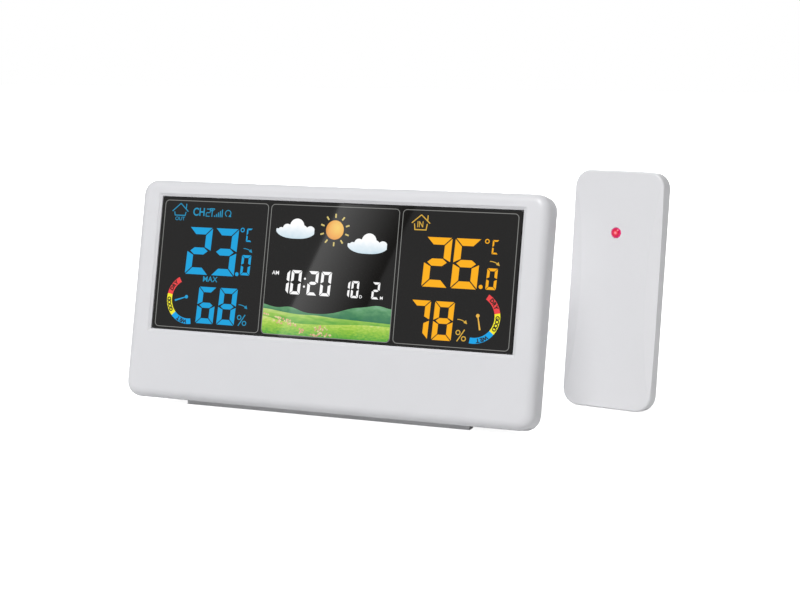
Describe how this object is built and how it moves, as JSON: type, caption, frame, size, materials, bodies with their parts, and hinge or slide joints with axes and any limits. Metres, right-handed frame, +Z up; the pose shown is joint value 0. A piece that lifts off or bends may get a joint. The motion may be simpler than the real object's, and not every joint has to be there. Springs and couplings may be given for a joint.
{
  "type": "home weather station",
  "caption": "Tabletop weather station console with a wide colour display on a fold-out stand, with its slim wireless outdoor temperature sensor beside it.",
  "frame": {"origin": "middle of the console's rubber foot strip, on the table", "axes": "+Z up, the console's display faces -Y and its width runs along X, with the outdoor sensor on the +X side"},
  "size_m": [0.2047, 0.0921, 0.094],
  "materials": {
    "case_white": "white moulded plastic, satin gloss",
    "key_white": "white moulded key caps",
    "window": "clear acrylic window printed black round its edge",
    "lcd_glass": "LCD glass with polariser",
    "milky_plastic": "milky moulded plastic",
    "colour_print": "printed translucent colour film",
    "clear_plastic": "clear acrylic light guide",
    "silver_film": "white reflector film",
    "circuit_board": "green solder mask on glass-fibre board",
    "black_resin": "black moulded resin",
    "grey_rubber": "grey silicone rubber",
    "steel": "nickel-plated steel",
    "copper": "enamelled copper wire",
    "cell_jacket": "printed metal cell jacket",
    "lamp_red": "red tinted lamp lens"
  },
  "bodies": {
    "console": {"front_case": "case_white", "display_window": "window", "lcd_panel": "lcd_glass", "colour_film": "colour_print", "light_guide": "clear_plastic", "reflector_film": "silver_film", "led_strip": "circuit_board", "zebra_strip": "grey_rubber", "lcd_frame": "milky_plastic", "main_board": "circuit_board", "controller_blob": "black_resin", "clock_crystal": "steel", "radio_module": "circuit_board", "buzzer": "black_resin", "room_probe": "black_resin", "console_antenna": "copper", "rear_case": "case_white", "case_screw_1": "steel", "case_screw_2": "steel", "console_cell_1": "cell_jacket", "console_cell_2": "cell_jacket", "console_cell_3": "cell_jacket", "contact_minus": "steel", "link_plate_lower": "steel", "link_plate_upper": "steel", "contact_plus": "steel", "key_mat": "grey_rubber", "key_board": "circuit_board", "board_link": "black_resin", "dc_jack": "black_resin", "foot_strip": "grey_rubber"},
    "stand": {"stand": "case_white", "stand_pad": "grey_rubber"},
    "battery_door": {"battery_door": "case_white"},
    "key_mode": {"key_mode": "key_white"},
    "key_up": {"key_up": "key_white"},
    "key_down": {"key_down": "key_white"},
    "key_memory": {"key_memory": "key_white"},
    "key_channel": {"key_channel": "key_white"},
    "key_light": {"key_light": "key_white"},
    "sensor": {"sensor_front": "case_white", "signal_lamp": "lamp_red", "sensor_board": "circuit_board", "sensor_tray": "milky_plastic", "sensor_cell_1": "cell_jacket", "sensor_cell_2": "cell_jacket", "sensor_contact_minus": "steel", "sensor_contact_plus": "steel", "sensor_link_plate": "steel", "sensor_antenna": "copper", "outdoor_probe": "milky_plastic", "channel_switch": "steel", "transmit_switch": "steel"},
    "sensor_cover": {"sensor_cover": "case_white", "cover_screw": "steel"},
    "sensor_leg": {"sensor_leg": "case_white"},
    "channel_slider": {"channel_slider": "black_resin"},
    "transmit_button": {"transmit_button": "black_resin"}
  },
  "joints": [
    {"name": "stand_hinge", "type": "hinge", "parent": "console", "child": "stand", "pos_m": [0, 0.02629, 0.03623], "axis": [-1, 0, 0], "range_deg": [0, 34.5]},
    {"name": "battery_door_lift", "type": "slide", "parent": "console", "child": "battery_door", "axis": [0, 0.9767, -0.2147], "range_m": [0, 0.02]},
    {"name": "key_mode_press", "type": "slide", "parent": "console", "child": "key_mode", "axis": [0, -0.9767, 0.2147], "range_m": [0, 0.0006], "stiffness_N_per_m": 800, "springref_m": -0.0005},
    {"name": "key_up_press", "type": "slide", "parent": "console", "child": "key_up", "axis": [0, -0.9767, 0.2147], "range_m": [0, 0.0006], "stiffness_N_per_m": 800, "springref_m": -0.0005},
    {"name": "key_down_press", "type": "slide", "parent": "console", "child": "key_down", "axis": [0, -0.9767, 0.2147], "range_m": [0, 0.0006], "stiffness_N_per_m": 800, "springref_m": -0.0005},
    {"name": "key_memory_press", "type": "slide", "parent": "console", "child": "key_memory", "axis": [0, -0.9767, 0.2147], "range_m": [0, 0.0006], "stiffness_N_per_m": 800, "springref_m": -0.0005},
    {"name": "key_channel_press", "type": "slide", "parent": "console", "child": "key_channel", "axis": [0, -0.9767, 0.2147], "range_m": [0, 0.0006], "stiffness_N_per_m": 800, "springref_m": -0.0005},
    {"name": "key_light_press", "type": "slide", "parent": "console", "child": "key_light", "axis": [0, -0.9767, 0.2147], "range_m": [0, 0.0006], "stiffness_N_per_m": 800, "springref_m": -0.0005},
    {"name": "sensor_lift", "type": "slide", "parent": "console", "child": "sensor", "axis": [0, 0, 1], "range_m": [0, 0.12]},
    {"name": "sensor_cover_lift", "type": "slide", "parent": "sensor", "child": "sensor_cover", "axis": [0.1676, 0.9807, -0.1011], "range_m": [0, 0.03]},
    {"name": "sensor_leg_hinge", "type": "hinge", "parent": "sensor_cover", "child": "sensor_leg", "pos_m": [0.10151, 0.07599, 0.03107], "axis": [-0.9857, 0.1685, 0], "range_deg": [0, 18.1]},
    {"name": "channel_slide", "type": "slide", "parent": "sensor", "child": "channel_slider", "axis": [0.9857, -0.1685, 0], "range_m": [0, 0.004]},
    {"name": "transmit_press", "type": "slide", "parent": "sensor", "child": "transmit_button", "axis": [-0.1676, -0.9807, 0.1011], "range_m": [0, 0.0003], "stiffness_N_per_m": 1500, "springref_m": -0.0003}
  ]
}
